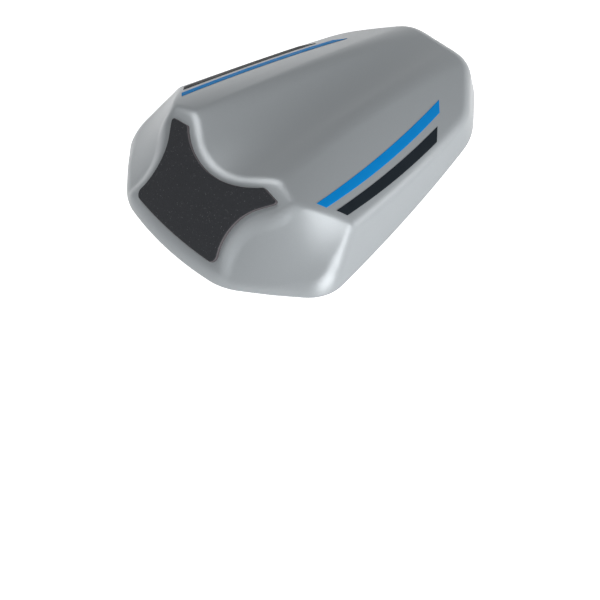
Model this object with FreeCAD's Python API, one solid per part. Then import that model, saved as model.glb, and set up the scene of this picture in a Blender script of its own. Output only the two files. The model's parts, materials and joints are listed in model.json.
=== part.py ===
import FreeCAD, Part

import math
import os

from FreeCAD import Vector

# Seat cowl: a hollow moulded cover that takes the place of a passenger's seat.
# Millimetres. +Y points to the tail, +X to the rider's right, +Z up; z = 0 is the lower rim.
# The form is symmetric about x = 0, so every outline below gives its right half only.

# Lower rim, seen from above: four corners of the right half before rounding
FRONT_CORNER_X = 57.9
FRONT_CORNER_Y = -143.4
SIDE_CORNER_X = 116.8
SIDE_CORNER_Y = -95.9
TAIL_CORNER_X = 78.6
TAIL_CORNER_Y = 97.5
END_CORNER_X = 35.5
END_CORNER_Y = 148.0

# How far each edge of the rim bows outward at its middle
FRONT_BOW = 6.1
FRONT_CHAMFER_BOW = 0.8
SIDE_BOW = 3.4
TAIL_CHAMFER_BOW = 0.8
END_BOW = 1.5

# How far each wall leans in from upright, in degrees
FRONT_LEAN = 12.0
SIDE_LEAN = 17.0
TAIL_CHAMFER_LEAN = 14.0
END_LEAN = 14.5

# Roundings of the upright corners and of the shoulder where the walls meet the top
FRONT_CORNER_RADIUS = 24.0
SIDE_CORNER_RADIUS = 28.0
TAIL_CORNER_RADIUS = 45.0
END_CORNER_RADIUS = 25.0
SHOULDER_RADIUS = 14.0

# The crown: two crests with a shallow channel between them.
# Each value is given at the front, middle and tail stations and runs as a parabola between.
FRONT_STATION = -80.0
MIDDLE_STATION = 0.0
TAIL_STATION = 140.0
CREST_HALF_SPACING = (41.2, 34.8, 23.7)
CREST_HEIGHT = (55.0, 51.7, 31.1)
CHANNEL_DEPTH = (7.8, 5.4, 1.1)
PANEL_SLOPE = (0.025, 0.254, 0.347)
PANEL_ROUNDNESS = (0.0040, 0.0026, 0.0004)
CREST_BLEND = 6.0

# The front face that carries the pad: two points of its middle line, and its bulge between
FACE_FOOT_DISTANCE = 10.0
FACE_FOOT_HEIGHT = 14.6
FACE_TOP_DISTANCE = 60.0
FACE_TOP_HEIGHT = 50.3
FACE_BULGE = 3.4
FACE_BOW = 3.2
FACE_BOW_HALF_WIDTH = 50.0
FACE_RIM_BLEND = 2.2

# The scooped facet over each front chamfer
FACET_FOOT_HEIGHT = 5.0
FACET_SLOPE = 1.13
FACET_STEEPEST_AT = 36.0
FACET_FAN_LENGTH = 60.0
FACET_HOLLOW = 2.0
FACET_DEPTH = 36.0
FACET_BLEND = 5.0

# Edge of the platform that stands out of the facets, and the flank that falls from it
PLATFORM_CENTRE_X = 78.3
PLATFORM_CENTRE_Y = -121.8
PLATFORM_RADIUS = 34.0
PLATFORM_WING_X = 61.0
PLATFORM_FLANK_WIDTH = 11.0

# The pad's outline on the face, seen from above
PAD_FRONT_MARGIN = 5.9
PAD_CORNER_X = 48.2
PAD_WAIST_CENTRE_X = 72.1
PAD_WAIST_CENTRE_Y = -123.0
PAD_WAIST_RADIUS = 30.2
PAD_WING_OUTER = (60.2, -92.3)
PAD_WING_INNER_X = 43.1
PAD_TOP_CENTRE_Y = -24.1
PAD_TOP_RADIUS = 79.2
PAD_CORNER_RADIUS = 4.0
PAD_TIP_RADIUS = 1.5
PAD_THICKNESS = 3.0

# Striped film on both shoulders: three points along each edge, and the film's thickness
BLUE_INNER_FRONT = (76.3, -67.8)
BLUE_INNER_MIDDLE = (67.4, 8.0)
BLUE_INNER_TAIL = (51.7, 83.8)
BLUE_OUTER_FRONT = (82.0, -64.0)
BLUE_OUTER_MIDDLE = (74.3, 8.0)
BLUE_OUTER_TAIL = (60.5, 75.4)
BLACK_INNER_FRONT = (86.9, -58.8)
BLACK_INNER_MIDDLE = (80.1, 3.0)
BLACK_INNER_TAIL = (68.7, 64.5)
BLACK_OUTER_FRONT = (93.0, -54.1)
BLACK_OUTER_MIDDLE = (87.5, 0.0)
BLACK_OUTER_TAIL = (78.2, 54.0)
FILM_THICKNESS = 0.3

# The shell's wall, and the bosses that stand down from the crown to take the base screws
WALL = 3.0
BOSS_RADIUS = 5.5
BOSS_INSET = 24.0
BOSS_SHARES = (0.1, 0.55, 1.0)
INSERT_RADIUS = 3.55
INSERT_LENGTH = 6.0
PILOT_DEPTH = 3.0

# Base plate that closes the underside: a floor with a flange down along the shell's wall
PLATE_CLEARANCE = 0.8
PLATE_FRONT_Y = -130.0
PLATE_THICKNESS = 2.5
FLOOR_BOTTOM = 12.0
FLANGE_BOTTOM = 7.0
FLANGE_THICKNESS = 2.0
RIB_THICKNESS = 2.0
RIB_HEIGHT = 3.0
RIB_LINES_X = (-30.0, 30.0)
RIB_LINES_Y = (-62.0, -8.0, 44.0)

# Raised pocket in the floor that holds the lock striker
POCKET_CENTRE_Y = 84.0
POCKET_LENGTH = 34.0
POCKET_WIDTH = 56.0
POCKET_CEILING = 22.0
POCKET_CORNER_RADIUS = 6.0

# Two moulded hooks that reach forward under the seat rail
HOOK_X = 38.0
HOOK_Y = -96.0
HOOK_WIDTH = 18.0
HOOK_WEB = 6.0
HOOK_REACH = 16.0
HOOK_BOTTOM = 3.0
HOOK_TONGUE = 3.5
HOOK_ROUNDING = 1.5

# Screws and washers under the floor, and the threaded bore of the inserts
SCREW_RADIUS = 2.5
SCREW_HEAD_RADIUS = 4.75
SCREW_HEAD_HEIGHT = 3.5
SCREW_HEAD_ROUNDING = 1.2
SCREW_SOCKET_ACROSS_FLATS = 3.0
SCREW_SOCKET_DEPTH = 2.0
SCREW_HOLE_CLEARANCE = 0.25
THREAD_CLEARANCE = 0.05
WASHER_RADIUS = 6.0
WASHER_THICKNESS = 1.0

# Lock striker: a rod bent to a U, held by nuts above the pocket
STRIKER_RADIUS = 3.5
STRIKER_HALF_WIDTH = 12.0
STRIKER_BOTTOM = 4.0
STRIKER_BEND_RADIUS = 8.0
STRIKER_STUD_RADIUS = 3.0
STRIKER_STUD_LENGTH = 10.0
STRIKER_PLATE_LENGTH = 44.0
STRIKER_PLATE_WIDTH = 22.0
STRIKER_PLATE_THICKNESS = 2.5
STRIKER_PLATE_CORNER = 4.0
STRIKER_HOLE_CLEARANCE = 0.3
NUT_ACROSS_FLATS = 10.0
NUT_HEIGHT = 5.0

# Rubber bumpers pressed into the floor
BUMPER_RADIUS = 10.0
BUMPER_BOTTOM = 2.0
BUMPER_ROUNDING = 2.0
BUMPER_STEM_RADIUS = 4.0
BUMPER_STEM_CLEARANCE = 0.2
BUMPER_BARB_RADIUS = 5.2
BUMPER_BARB_TIP_RADIUS = 3.0
BUMPER_BARB_HEIGHT = 4.0
BUMPER_FRONT = (84.0, -48.0)
BUMPER_REAR = (46.0, 66.0)

# Spacing of the heights that carry the skin surface: fine where the form turns, coarse elsewhere
FINE_STEP = 7.0
COARSE_STEP = 28.0
FINE_FROM_X = 18.0
FINE_TO_X = 81.0
FINE_TO_Y = -56.0

# Furthest that an upright edge's foot lies from the corner that it belongs to
CORNER_MATCH = 0.3

# Extent of the working surfaces beyond the rim and above the crests
GRID_MARGIN = 12.0
LOFT_HEIGHT = 75.0
LOFT_BELOW = 4.0


def through_stations(values, y):
    """Parabola through the values at the front, middle and tail stations."""
    a, b, c = FRONT_STATION, MIDDLE_STATION, TAIL_STATION
    at_a = values[0] * (y - b) * (y - c) / ((a - b) * (a - c))
    at_b = values[1] * (y - a) * (y - c) / ((b - a) * (b - c))
    at_c = values[2] * (y - a) * (y - b) / ((c - a) * (c - b))
    return at_a + at_b + at_c


def soft_min(a, b, blend):
    """Smaller of two heights, rounded where they are within the blend of each other."""
    overlap = max(blend - abs(a - b), 0.0) / blend
    return min(a, b) - overlap * overlap * blend / 4.0


def crown_height(x, y):
    """Height of the crown: parabolic channel inside the crests, falling panel outside."""
    crest_x = through_stations(CREST_HALF_SPACING, y)
    crest_z = through_stations(CREST_HEIGHT, y)
    depth = through_stations(CHANNEL_DEPTH, y)
    channel = crest_z - depth * (1.0 - (x / crest_x) ** 2)
    beyond = x - crest_x
    slope = through_stations(PANEL_SLOPE, y)
    roundness = through_stations(PANEL_ROUNDNESS, y)
    panel = crest_z - slope * beyond - roundness * beyond * abs(beyond)
    return soft_min(channel, panel, CREST_BLEND)


def face_height(x, y):
    """Height of the leaning front face, bowed in plan and rounded towards the top."""
    front = FRONT_CORNER_Y - FRONT_BOW
    distance = y - front - FACE_BOW * (x / FACE_BOW_HALF_WIDTH) ** 2
    run = FACE_TOP_DISTANCE - FACE_FOOT_DISTANCE
    share = min((distance - FACE_FOOT_DISTANCE) / run, 1.0)
    rise = FACE_TOP_HEIGHT - FACE_FOOT_HEIGHT
    bulge = 4.0 * FACE_BULGE * share * (1.0 - share)
    end_slope = (rise - 4.0 * FACE_BULGE) / run
    further = max(distance - FACE_TOP_DISTANCE, 0.0)
    return FACE_FOOT_HEIGHT + rise * share + bulge + end_slope * further


def facet_height(x, y):
    """Height of the scooped facet that rises inward from the front chamfer of the rim."""
    run_x = SIDE_CORNER_X - FRONT_CORNER_X
    run_y = SIDE_CORNER_Y - FRONT_CORNER_Y
    length = math.hypot(run_x, run_y)
    from_x = x - FRONT_CORNER_X
    from_y = y - FRONT_CORNER_Y
    along = (from_x * run_x + from_y * run_y) / length
    inward = (from_y * run_x - from_x * run_y) / length
    slope = FACET_SLOPE / (1.0 + ((along - FACET_STEEPEST_AT) / FACET_FAN_LENGTH) ** 2)
    part = inward / FACET_DEPTH
    hollow = FACET_HOLLOW * 4.0 * part * (1.0 - part)
    return FACET_FOOT_HEIGHT + slope * inward - hollow


def beyond_platform(x, y):
    """Share of the way, 0 to 1, from the platform's edge down to the facet at its foot."""
    to_x = min(x - PLATFORM_CENTRE_X, 0.0)
    to_y = y - PLATFORM_CENTRE_Y
    waist = max(PLATFORM_RADIUS - math.hypot(to_x, to_y), 0.0)
    wing = max(x - PLATFORM_WING_X, 0.0)
    share = min(math.hypot(waist, wing) / PLATFORM_FLANK_WIDTH, 1.0)
    return share * share * (3.0 - 2.0 * share)


def skin_height(x, y):
    """Height of the finished outer skin above the rim, without the side and tail walls."""
    side = abs(x)
    face = face_height(side, y)
    facet = soft_min(facet_height(side, y), face, FACET_BLEND)
    share = beyond_platform(side, y)
    front = face * (1.0 - share) + facet * share
    return soft_min(crown_height(side, y), front, FACE_RIM_BLEND)


def grown_skin_height(x, y, growth):
    """Skin height moved out along the surface by the growth, or in where it is negative."""
    step = 0.5
    slope_x = (skin_height(x + step, y) - skin_height(x - step, y)) / (2.0 * step)
    slope_y = (skin_height(x, y + step) - skin_height(x, y - step)) / (2.0 * step)
    return skin_height(x, y) + growth * math.sqrt(1.0 + slope_x ** 2 + slope_y ** 2)


def stops(start, end, step):
    """Evenly spaced values from the start to the end, no further apart than the step."""
    count = max(int(math.ceil((end - start) / step)), 1)
    return [start + (end - start) * k / count for k in range(count + 1)]


def skin_surface(growth):
    """Smooth surface through the skin heights on a grid over the rim's outline."""
    half_x = SIDE_CORNER_X + GRID_MARGIN
    front = FRONT_CORNER_Y - FRONT_BOW - GRID_MARGIN
    tail = END_CORNER_Y + END_BOW + GRID_MARGIN
    right = stops(0.0, FINE_FROM_X, COARSE_STEP / 2.0)
    right += stops(FINE_FROM_X, FINE_TO_X, FINE_STEP)[1:]
    right += stops(FINE_TO_X, half_x, COARSE_STEP / 2.0)[1:]
    across = [-x for x in reversed(right[1:])] + right
    along = stops(front, FINE_TO_Y, FINE_STEP) + stops(FINE_TO_Y, tail, COARSE_STEP)[1:]
    lines = []
    for x in across:
        points = [Vector(x, y, grown_skin_height(x, y, growth)) for y in along]
        line = Part.BSplineCurve()
        line.interpolate(Points=points, Parameters=along)
        lines.append(line)
    columns = []
    for k in range(lines[0].NbPoles):
        line = Part.BSplineCurve()
        line.interpolate(Points=[each.getPole(k + 1) for each in lines], Parameters=across)
        columns.append(line)
    poles = []
    for i in range(columns[0].NbPoles):
        poles.append([column.getPole(i + 1) for column in columns])
    surface = Part.BSplineSurface()
    surface.buildFromPolesMultsKnots(
        poles,
        columns[0].getMultiplicities(),
        lines[0].getMultiplicities(),
        columns[0].getKnots(),
        lines[0].getKnots(),
        False,
        False,
        columns[0].Degree,
        lines[0].Degree,
    )
    return surface


def moved_line(start, end, distance):
    """Line moved to its left, which is inward on a rim that runs counter-clockwise."""
    run_x = end[0] - start[0]
    run_y = end[1] - start[1]
    length = math.hypot(run_x, run_y)
    shift_x = -run_y / length * distance
    shift_y = run_x / length * distance
    return (start[0] + shift_x, start[1] + shift_y), (end[0] + shift_x, end[1] + shift_y)


def crossing(first, second):
    """Point where two lines cross."""
    (x1, y1), (x2, y2) = first
    (x3, y3), (x4, y4) = second
    scale = (x1 - x2) * (y3 - y4) - (y1 - y2) * (x3 - x4)
    a = x1 * y2 - y1 * x2
    b = x3 * y4 - y3 * x4
    return (a * (x3 - x4) - b * (x1 - x2)) / scale, (a * (y3 - y4) - b * (y1 - y2)) / scale


def rim_corners():
    """Corners of the rim, counter-clockwise from the front right."""
    right = [
        (FRONT_CORNER_X, FRONT_CORNER_Y),
        (SIDE_CORNER_X, SIDE_CORNER_Y),
        (TAIL_CORNER_X, TAIL_CORNER_Y),
        (END_CORNER_X, END_CORNER_Y),
    ]
    left = [(-x, y) for x, y in reversed(right)]
    return right + left


def rim_edges():
    """Bow and lean of each edge, in the order of the corners that the edges start from."""
    right = [
        (FRONT_CHAMFER_BOW, FRONT_LEAN),
        (SIDE_BOW, SIDE_LEAN),
        (TAIL_CHAMFER_BOW, TAIL_CHAMFER_LEAN),
    ]
    return right + [(END_BOW, END_LEAN)] + right[::-1] + [(FRONT_BOW, FRONT_LEAN)]


def rim_radii():
    """Corner radii in the order of the corners."""
    right = [FRONT_CORNER_RADIUS, SIDE_CORNER_RADIUS, TAIL_CORNER_RADIUS, END_CORNER_RADIUS]
    return right + right[::-1]


def ring_corners(growth, height):
    """Corners of the wall at a height, with each wall moved out by the growth."""
    corners = rim_corners()
    edges = rim_edges()
    count = len(corners)
    lines = []
    for i in range(count):
        lean = math.radians(edges[i][1])
        inward = height * math.tan(lean) - growth / math.cos(lean)
        lines.append(moved_line(corners[i], corners[(i + 1) % count], inward))
    return [crossing(lines[i - 1], lines[i]) for i in range(count)]


def ring_wire(growth, height):
    """Closed wire of bowed edges at a height of the wall."""
    corners = ring_corners(growth, height)
    edges = rim_edges()
    count = len(corners)
    arcs = []
    for i in range(count):
        x1, y1 = corners[i]
        x2, y2 = corners[(i + 1) % count]
        length = math.hypot(x2 - x1, y2 - y1)
        bow = edges[i][0]
        middle_x = (x1 + x2) / 2.0 + (y2 - y1) / length * bow
        middle_y = (y1 + y2) / 2.0 - (x2 - x1) / length * bow
        start = Vector(x1, y1, height)
        middle = Vector(middle_x, middle_y, height)
        arcs.append(Part.Arc(start, middle, Vector(x2, y2, height)).toShape())
    return Part.Wire(arcs)


def rises(edge):
    """True for an edge that climbs from the bottom of the loft to its top."""
    return abs(edge.Vertexes[0].Z - edge.Vertexes[-1].Z) > LOFT_HEIGHT / 2.0


def walls(growth, bottom):
    """Leaning walls as a solid block with rounded upright corners."""
    block = Part.makeLoft([ring_wire(growth, bottom), ring_wire(growth, LOFT_HEIGHT)], True, True)
    feet = [Vector(x, y, bottom) for x, y in ring_corners(growth, bottom)]
    radii = rim_radii()
    for radius in sorted(set(radii)):
        edges = []
        for edge in block.Edges:
            if rises(edge):
                lower = min((v.Point for v in edge.Vertexes), key=lambda p: p.z)
                nearest = min(range(len(feet)), key=lambda k: (feet[k] - lower).Length)
                if radii[nearest] == radius and (feet[nearest] - lower).Length < CORNER_MATCH:
                    edges.append(edge)
        block = block.makeFillet(radius + growth, edges)
    return block


def cowl_form(growth, bottom, rounded=True):
    """Solid form of the cowl, grown or shrunk along its skin, from a bottom level up."""
    skin = skin_surface(growth).toShape()
    below_skin = skin.extrude(Vector(0.0, 0.0, -2.0 * LOFT_HEIGHT))
    form = walls(growth, bottom).common(below_skin).Solids[0]
    if rounded:
        top = max((f for f in form.Faces if is_skin(f)), key=lambda f: f.Area)
        form = form.makeFillet(SHOULDER_RADIUS + growth, top.OuterWire.Edges)
    return form


def is_skin(face):
    """True for a face that lies on the skin surface."""
    return isinstance(face.Surface, Part.BSplineSurface)


def write(node, shape):
    """Writes one sub-part."""
    os.makedirs("parts", exist_ok=True)
    shape.exportStep("parts/" + node + ".step")


def slab(bottom, top, front):
    """Block over the whole plan between two levels, from a front line to past the tail."""
    half_x = SIDE_CORNER_X + GRID_MARGIN
    tail = END_CORNER_Y + END_BOW + GRID_MARGIN
    return Part.makeBox(2.0 * half_x, tail - front, top - bottom, Vector(-half_x, front, bottom))


def centred_box(length_x, length_y, bottom, top, x, y):
    """Box centred on a point of the plan, between two levels."""
    corner = Vector(x - length_x / 2.0, y - length_y / 2.0, bottom)
    return Part.makeBox(length_x, length_y, top - bottom, corner)


def rod(radius, bottom, top, x, y):
    """Upright cylinder between two levels."""
    return Part.makeCylinder(radius, top - bottom, Vector(x, y, bottom))


def upright_edges(shape):
    """Straight edges of a shape that run parallel to Z."""
    found = []
    for edge in shape.Edges:
        first = edge.Vertexes[0].Point
        last = edge.Vertexes[-1].Point
        run = last - first
        if abs(run.z) > 0.0 and math.hypot(run.x, run.y) == 0.0:
            found.append(edge)
    return found


def mirrored(shape):
    """Mirror image of a shape across the middle plane."""
    return shape.mirror(Vector(0.0, 0.0, 0.0), Vector(1.0, 0.0, 0.0))


def boss_places():
    """Plan positions of the bosses on both sides, set in from the straight side of the rim."""
    run_x = TAIL_CORNER_X - SIDE_CORNER_X
    run_y = TAIL_CORNER_Y - SIDE_CORNER_Y
    length = math.hypot(run_x, run_y)
    places = []
    for share in BOSS_SHARES:
        x = SIDE_CORNER_X + run_x * share - run_y / length * BOSS_INSET
        y = SIDE_CORNER_Y + run_y * share + run_x / length * BOSS_INSET
        places += [(x, y), (-x, y)]
    return places


def bumper_places():
    """Plan positions of the bumpers with the name of each."""
    front_x, front_y = BUMPER_FRONT
    rear_x, rear_y = BUMPER_REAR
    return {
        "bumper_front_left": (-front_x, front_y),
        "bumper_front_right": (front_x, front_y),
        "bumper_rear_left": (-rear_x, rear_y),
        "bumper_rear_right": (rear_x, rear_y),
    }


def arc(start, middle, end):
    """Arc through three plan points, flat on z = 0."""
    return Part.Arc(Vector(*start), Vector(*middle), Vector(*end)).toShape()


def on_circle(centre_x, centre_y, radius, angle):
    """Plan point on a circle, with the angle in degrees from +X."""
    turn = math.radians(angle)
    return centre_x + radius * math.cos(turn), centre_y + radius * math.sin(turn)


def cowl_shell(outer):
    """Hollow shell with one boss per base screw, moulded to the crown's inside."""
    shell = outer.cut(cowl_form(-WALL, -LOFT_BELOW, rounded=False))
    root = cowl_form(-WALL / 2.0, -LOFT_BELOW, rounded=False)
    floor_top = FLOOR_BOTTOM + PLATE_THICKNESS
    for x, y in boss_places():
        boss = rod(BOSS_RADIUS, floor_top, LOFT_HEIGHT, x, y).common(root)
        shell = shell.fuse(boss)
        shell = shell.cut(rod(INSERT_RADIUS, floor_top, floor_top + INSERT_LENGTH, x, y))
        pilot = floor_top + INSERT_LENGTH
        shell = shell.cut(rod(SCREW_RADIUS, pilot, pilot + PILOT_DEPTH, x, y))
    return shell.Solids[0]


def pad_front():
    """Foremost y of the pad's outline, on the middle line."""
    return FRONT_CORNER_Y - FRONT_BOW + PAD_FRONT_MARGIN


def pad_dip():
    """Lowest y of the pad's hollow top edge, on the middle line."""
    return PAD_TOP_CENTRE_Y - PAD_TOP_RADIUS


def pad_outline():
    """Flat face with the pad's plan outline: bowed front, hollow waists and hollow top."""
    waist = (PAD_WAIST_CENTRE_X, PAD_WAIST_CENTRE_Y, PAD_WAIST_RADIUS)
    low_turn = 180.0 + math.degrees(math.acos((waist[0] - PAD_CORNER_X) / waist[2]))
    to_tip_x = PAD_WING_OUTER[0] - waist[0]
    to_tip_y = PAD_WING_OUTER[1] - waist[1]
    away = math.degrees(math.acos(waist[2] / math.hypot(to_tip_x, to_tip_y)))
    high_turn = math.degrees(math.atan2(to_tip_y, to_tip_x)) + away
    low = on_circle(*waist, low_turn)
    high = on_circle(*waist, high_turn)
    middle = on_circle(*waist, (low_turn + high_turn) / 2.0)
    turn = math.degrees(math.asin(PAD_WING_INNER_X / PAD_TOP_RADIUS)) - 90.0
    inner = on_circle(0.0, PAD_TOP_CENTRE_Y, PAD_TOP_RADIUS, turn)
    right = [
        arc(low, middle, high),
        Part.makeLine(Vector(*high), Vector(*PAD_WING_OUTER)),
        Part.makeLine(Vector(*PAD_WING_OUTER), Vector(*inner)),
    ]
    front = arc((-low[0], low[1]), (0.0, pad_front()), low)
    top = arc(inner, (0.0, pad_dip()), (-inner[0], inner[1]))
    left = [mirrored(edge) for edge in right]
    return Part.Face(Part.Wire(Part.sortEdges([front, top] + right + left)[0]))


def backrest_pad(outer):
    """Pad bonded to the front face, with its sides square to the face."""
    low = grown_skin_height(0.0, pad_front(), PAD_THICKNESS)
    high = grown_skin_height(0.0, pad_dip(), PAD_THICKNESS)
    slope = (high - low) / (pad_dip() - pad_front())
    level = low - slope * pad_front()
    steepness = math.hypot(1.0, slope)
    depth = 2.0 * FACE_TOP_DISTANCE
    prism = pad_outline().extrude(Vector(0.0, 0.0, depth))
    inner_x = PAD_WING_OUTER[0] - CORNER_MATCH
    corners = [e for e in upright_edges(prism) if abs(e.Vertexes[0].X) < inner_x]
    prism = prism.makeFillet(PAD_CORNER_RADIUS, corners)
    tips = [e for e in upright_edges(prism) if abs(e.Vertexes[0].X) > inner_x]
    prism = prism.makeFillet(PAD_TIP_RADIUS, tips)
    # Lays the outline on the plane through the pad's front and top edges, sides square to it
    tilt = FreeCAD.Matrix(
        1.0, 0.0, 0.0, 0.0,
        0.0, 1.0, -slope / steepness, depth / 2.0 * slope / steepness,
        0.0, slope, 1.0 / steepness, level - depth / 2.0 / steepness,
        0.0, 0.0, 0.0, 1.0,
    )
    cutter = prism.transformGeometry(tilt)
    pad = cowl_form(PAD_THICKNESS, 0.0).common(cutter).cut(outer)
    return max(pad.Solids, key=lambda solid: solid.Volume)


def stripe(inner_edge, outer_edge, film, outer):
    """Strip of film on the skin between two curved edges, for the right side."""
    edges = [
        arc(*inner_edge),
        Part.makeLine(Vector(*inner_edge[2]), Vector(*outer_edge[2])),
        arc(*outer_edge[::-1]),
        Part.makeLine(Vector(*outer_edge[0]), Vector(*inner_edge[0])),
    ]
    prism = Part.Face(Part.Wire(edges)).extrude(Vector(0.0, 0.0, LOFT_HEIGHT))
    return film.common(prism).cut(outer).Solids[0]


def pocket_block(margin, bottom, top):
    """Rounded block in plan like the striker's pocket, larger by a margin all round."""
    width = POCKET_WIDTH + 2.0 * margin
    length = POCKET_LENGTH + 2.0 * margin
    block = centred_box(width, length, bottom, top, 0.0, POCKET_CENTRE_Y)
    return block.makeFillet(POCKET_CORNER_RADIUS + margin, upright_edges(block))


def hook(x):
    """Hook under the floor: an upright web with a tongue that reaches forward."""
    tip = HOOK_Y - HOOK_REACH
    back = HOOK_Y + HOOK_WEB
    tongue_top = HOOK_BOTTOM + HOOK_TONGUE
    side = x - HOOK_WIDTH / 2.0
    points = [
        Vector(side, tip, HOOK_BOTTOM),
        Vector(side, back, HOOK_BOTTOM),
        Vector(side, back, FLOOR_BOTTOM),
        Vector(side, HOOK_Y, FLOOR_BOTTOM),
        Vector(side, HOOK_Y, tongue_top),
        Vector(side, tip, tongue_top),
    ]
    profile = Part.Face(Part.makePolygon(points + points[:1]))
    body = profile.extrude(Vector(HOOK_WIDTH, 0.0, 0.0))
    tip_edges = []
    for edge in body.Edges:
        ends = [v.Point for v in edge.Vertexes]
        if all(abs(p.y - tip) == 0.0 for p in ends) and ends[0].z == ends[1].z:
            tip_edges.append(edge)
    return body.makeFillet(HOOK_ROUNDING, tip_edges)


def base_plate():
    """Floor with a flange, ribs, a pocket for the striker and two hooks at the front."""
    gap = WALL + PLATE_CLEARANCE
    floor_top = FLOOR_BOTTOM + PLATE_THICKNESS
    outline = cowl_form(-gap, -LOFT_BELOW, rounded=False)
    inside = cowl_form(-gap - FLANGE_THICKNESS, -LOFT_BELOW, rounded=False)
    plate = outline.common(slab(FLANGE_BOTTOM, floor_top, PLATE_FRONT_Y))
    inner_front = PLATE_FRONT_Y + FLANGE_THICKNESS
    hollow = inside.common(slab(FLANGE_BOTTOM, FLOOR_BOTTOM, inner_front))
    ribs = slab(FLOOR_BOTTOM - RIB_HEIGHT, FLOOR_BOTTOM, HOOK_Y)
    ribs = ribs.common(rib_grid())
    plate = plate.cut(hollow.cut(ribs))
    ceiling_top = POCKET_CEILING + PLATE_THICKNESS
    plate = plate.fuse(pocket_block(PLATE_THICKNESS, FLOOR_BOTTOM, ceiling_top))
    plate = plate.cut(pocket_block(0.0, FLANGE_BOTTOM, POCKET_CEILING))
    plate = plate.fuse([hook(-HOOK_X), hook(HOOK_X)])
    holes = []
    for x, y in boss_places():
        holes.append(rod(SCREW_RADIUS + SCREW_HOLE_CLEARANCE, FLOOR_BOTTOM, floor_top, x, y))
    for x, y in bumper_places().values():
        stem = BUMPER_STEM_RADIUS + BUMPER_STEM_CLEARANCE
        holes.append(rod(stem, FLOOR_BOTTOM, floor_top, x, y))
    for x in (-STRIKER_HALF_WIDTH, STRIKER_HALF_WIDTH):
        stud = STRIKER_STUD_RADIUS + STRIKER_HOLE_CLEARANCE
        holes.append(rod(stud, POCKET_CEILING, ceiling_top, x, POCKET_CENTRE_Y))
    return plate.cut(holes).removeSplitter().Solids[0]


def rib_grid():
    """Crossed walls that stiffen the floor, as tall as the working height."""
    length = END_CORNER_Y - HOOK_Y
    middle = (END_CORNER_Y + HOOK_Y) / 2.0
    width = 2.0 * SIDE_CORNER_X
    lengthwise = [
        centred_box(RIB_THICKNESS, length, 0.0, LOFT_HEIGHT, x, middle) for x in RIB_LINES_X
    ]
    crosswise = [
        centred_box(width, RIB_THICKNESS, 0.0, LOFT_HEIGHT, 0.0, y) for y in RIB_LINES_Y
    ]
    return lengthwise[0].fuse(lengthwise[1:] + crosswise)


def boss_insert(x, y):
    """Threaded brass tube set flush in the end of a boss."""
    bottom = FLOOR_BOTTOM + PLATE_THICKNESS
    top = bottom + INSERT_LENGTH
    bore = rod(SCREW_RADIUS + THREAD_CLEARANCE, bottom, top, x, y)
    return rod(INSERT_RADIUS, bottom, top, x, y).cut(bore)


def base_washer(x, y):
    """Washer under the floor."""
    bottom = FLOOR_BOTTOM - WASHER_THICKNESS
    bore = rod(SCREW_RADIUS + SCREW_HOLE_CLEARANCE, bottom, FLOOR_BOTTOM, x, y)
    return rod(WASHER_RADIUS, bottom, FLOOR_BOTTOM, x, y).cut(bore)


def hexagon(across_flats, bottom, top, x, y):
    """Upright hexagonal prism."""
    radius = across_flats / math.sqrt(3.0)
    points = [Vector(*on_circle(x, y, radius, 60.0 * k), bottom) for k in range(7)]
    return Part.Face(Part.makePolygon(points)).extrude(Vector(0.0, 0.0, top - bottom))


def base_screw(x, y):
    """Socket screw with a rounded head, from under the washer to the insert's top."""
    seat = FLOOR_BOTTOM - WASHER_THICKNESS
    low = seat - SCREW_HEAD_HEIGHT
    head = rod(SCREW_HEAD_RADIUS, low, seat, x, y)
    rims = [e for e in head.Edges if e.Closed and e.Vertexes[0].Z == low]
    head = head.makeFillet(SCREW_HEAD_ROUNDING, rims)
    head = head.cut(hexagon(SCREW_SOCKET_ACROSS_FLATS, low, low + SCREW_SOCKET_DEPTH, x, y))
    top = FLOOR_BOTTOM + PLATE_THICKNESS + INSERT_LENGTH
    return head.fuse(rod(SCREW_RADIUS, seat, top, x, y)).Solids[0]


def lock_striker():
    """Rod bent to a U, with a thinner stud on each leg."""
    half = STRIKER_HALF_WIDTH
    y = POCKET_CENTRE_Y
    low = STRIKER_BOTTOM + STRIKER_RADIUS
    bend = STRIKER_BEND_RADIUS
    ease = bend * (1.0 - math.sqrt(0.5))
    left_start = Vector(-half, y, low + bend)
    left_end = Vector(-half + bend, y, low)
    right_start = Vector(half - bend, y, low)
    right_end = Vector(half, y, low + bend)
    path = Part.Wire([
        Part.makeLine(Vector(-half, y, POCKET_CEILING), left_start),
        Part.Arc(left_start, Vector(-half + ease, y, low + ease), left_end).toShape(),
        Part.makeLine(left_end, right_start),
        Part.Arc(right_start, Vector(half - ease, y, low + ease), right_end).toShape(),
        Part.makeLine(right_end, Vector(half, y, POCKET_CEILING)),
    ])
    start = Vector(-half, y, POCKET_CEILING)
    section = Part.Wire(Part.makeCircle(STRIKER_RADIUS, start, Vector(0.0, 0.0, 1.0)))
    striker = path.makePipeShell([section], True, True)
    top = POCKET_CEILING + STRIKER_STUD_LENGTH
    studs = [rod(STRIKER_STUD_RADIUS, POCKET_CEILING, top, x, y) for x in (-half, half)]
    return striker.fuse(studs).Solids[0]


def striker_plate():
    """Steel plate between the striker's legs and the pocket's ceiling."""
    bottom = POCKET_CEILING - STRIKER_PLATE_THICKNESS
    length = STRIKER_PLATE_LENGTH
    width = STRIKER_PLATE_WIDTH
    plate = centred_box(length, width, bottom, POCKET_CEILING, 0.0, POCKET_CENTRE_Y)
    plate = plate.makeFillet(STRIKER_PLATE_CORNER, upright_edges(plate))
    for x in (-STRIKER_HALF_WIDTH, STRIKER_HALF_WIDTH):
        plate = plate.cut(rod(STRIKER_RADIUS, bottom, POCKET_CEILING, x, POCKET_CENTRE_Y))
    return plate.Solids[0]


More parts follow.
